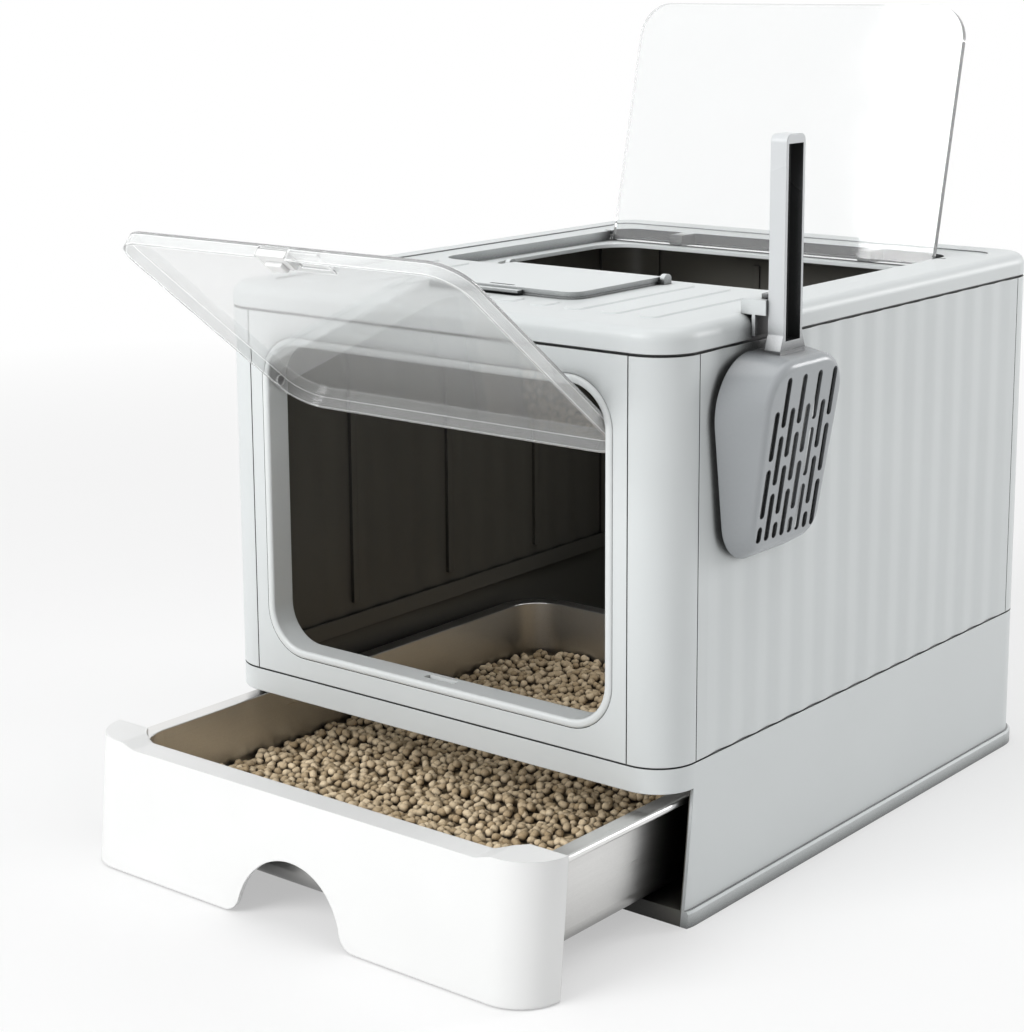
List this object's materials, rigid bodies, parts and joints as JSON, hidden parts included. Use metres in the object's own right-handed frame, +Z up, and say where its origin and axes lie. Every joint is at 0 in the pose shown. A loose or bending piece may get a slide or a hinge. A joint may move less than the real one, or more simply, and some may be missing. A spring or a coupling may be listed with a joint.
{
  "type": "enclosed cat litter box",
  "caption": "Enclosed cat litter box with a pull-out drawer holding a steel pan, a clear swing-up front flap, a clear roof flap and a slotted scoop hung on the lid.",
  "frame": {"origin": "on the floor, under the middle of the housing", "axes": "+Z up, the doorway and the drawer face -Y, the scoop hangs on the +X side"},
  "size_m": [0.4405, 0.6484, 0.5875],
  "materials": {
    "shell_grey": "light grey satin moulding",
    "drawer_white": "white satin moulding",
    "clear_plastic": "clear moulded plastic",
    "pan_steel": "satin stainless sheet",
    "scoop_grey": "mid grey satin moulding",
    "litter": "pressed plant pellets",
    "bag_mesh": "white net over grey filling"
  },
  "bodies": {
    "housing": {"base_tray": "shell_grey", "front_left_post": "shell_grey", "front_right_post": "shell_grey", "rear_left_post": "shell_grey", "rear_right_post": "shell_grey", "front_panel": "shell_grey", "left_side_panel": "shell_grey", "right_side_panel": "shell_grey", "rear_panel": "shell_grey", "doorway_rim": "shell_grey"},
    "drawer": {"drawer_front": "drawer_white", "steel_pan": "pan_steel", "litter_bed": "litter"},
    "door": {"front_flap": "clear_plastic", "front_flap_pins": "clear_plastic", "latch_plate": "clear_plastic"},
    "latch": {"latch_slider": "drawer_white"},
    "roof": {"lid": "shell_grey", "deodoriser_tray": "shell_grey", "deodorant_bag": "bag_mesh", "scoop_hanger": "shell_grey"},
    "hatch": {"top_flap": "clear_plastic", "top_flap_pins": "clear_plastic"},
    "cover": {"deodoriser_cover": "shell_grey", "deodoriser_pins": "shell_grey"},
    "scoop": {"scoop_blade": "scoop_grey", "scoop_handle": "scoop_grey"}
  },
  "joints": [
    {"name": "drawer_slide", "type": "slide", "parent": "housing", "child": "drawer", "axis": [0, -1, 0], "range_m": [-0.134, 0.2]},
    {"name": "door_hinge", "type": "hinge", "parent": "housing", "child": "door", "pos_m": [0, -0.2405, 0.3285], "axis": [-1, 0, 0], "range_deg": [-208.2, 0]},
    {"name": "latch_slide", "type": "slide", "parent": "door", "child": "latch", "axis": [0, -0.7859, 0.6184], "range_m": [0, 0.007]},
    {"name": "roof_lift", "type": "slide", "parent": "housing", "child": "roof", "axis": [0, 0, 1], "range_m": [0, 0.15]},
    {"name": "hatch_hinge", "type": "hinge", "parent": "roof", "child": "hatch", "pos_m": [0, 0.17, 0.3918], "axis": [1, 0, 0], "range_deg": [0, 102.7]},
    {"name": "cover_hinge", "type": "hinge", "parent": "roof", "child": "cover", "pos_m": [0, -0.0717, 0.4005], "axis": [-1, 0, 0], "range_deg": [0, 100]},
    {"name": "scoop_lift", "type": "slide", "parent": "roof", "child": "scoop", "axis": [0, 0, 1], "range_m": [0, 0.02]}
  ]
}
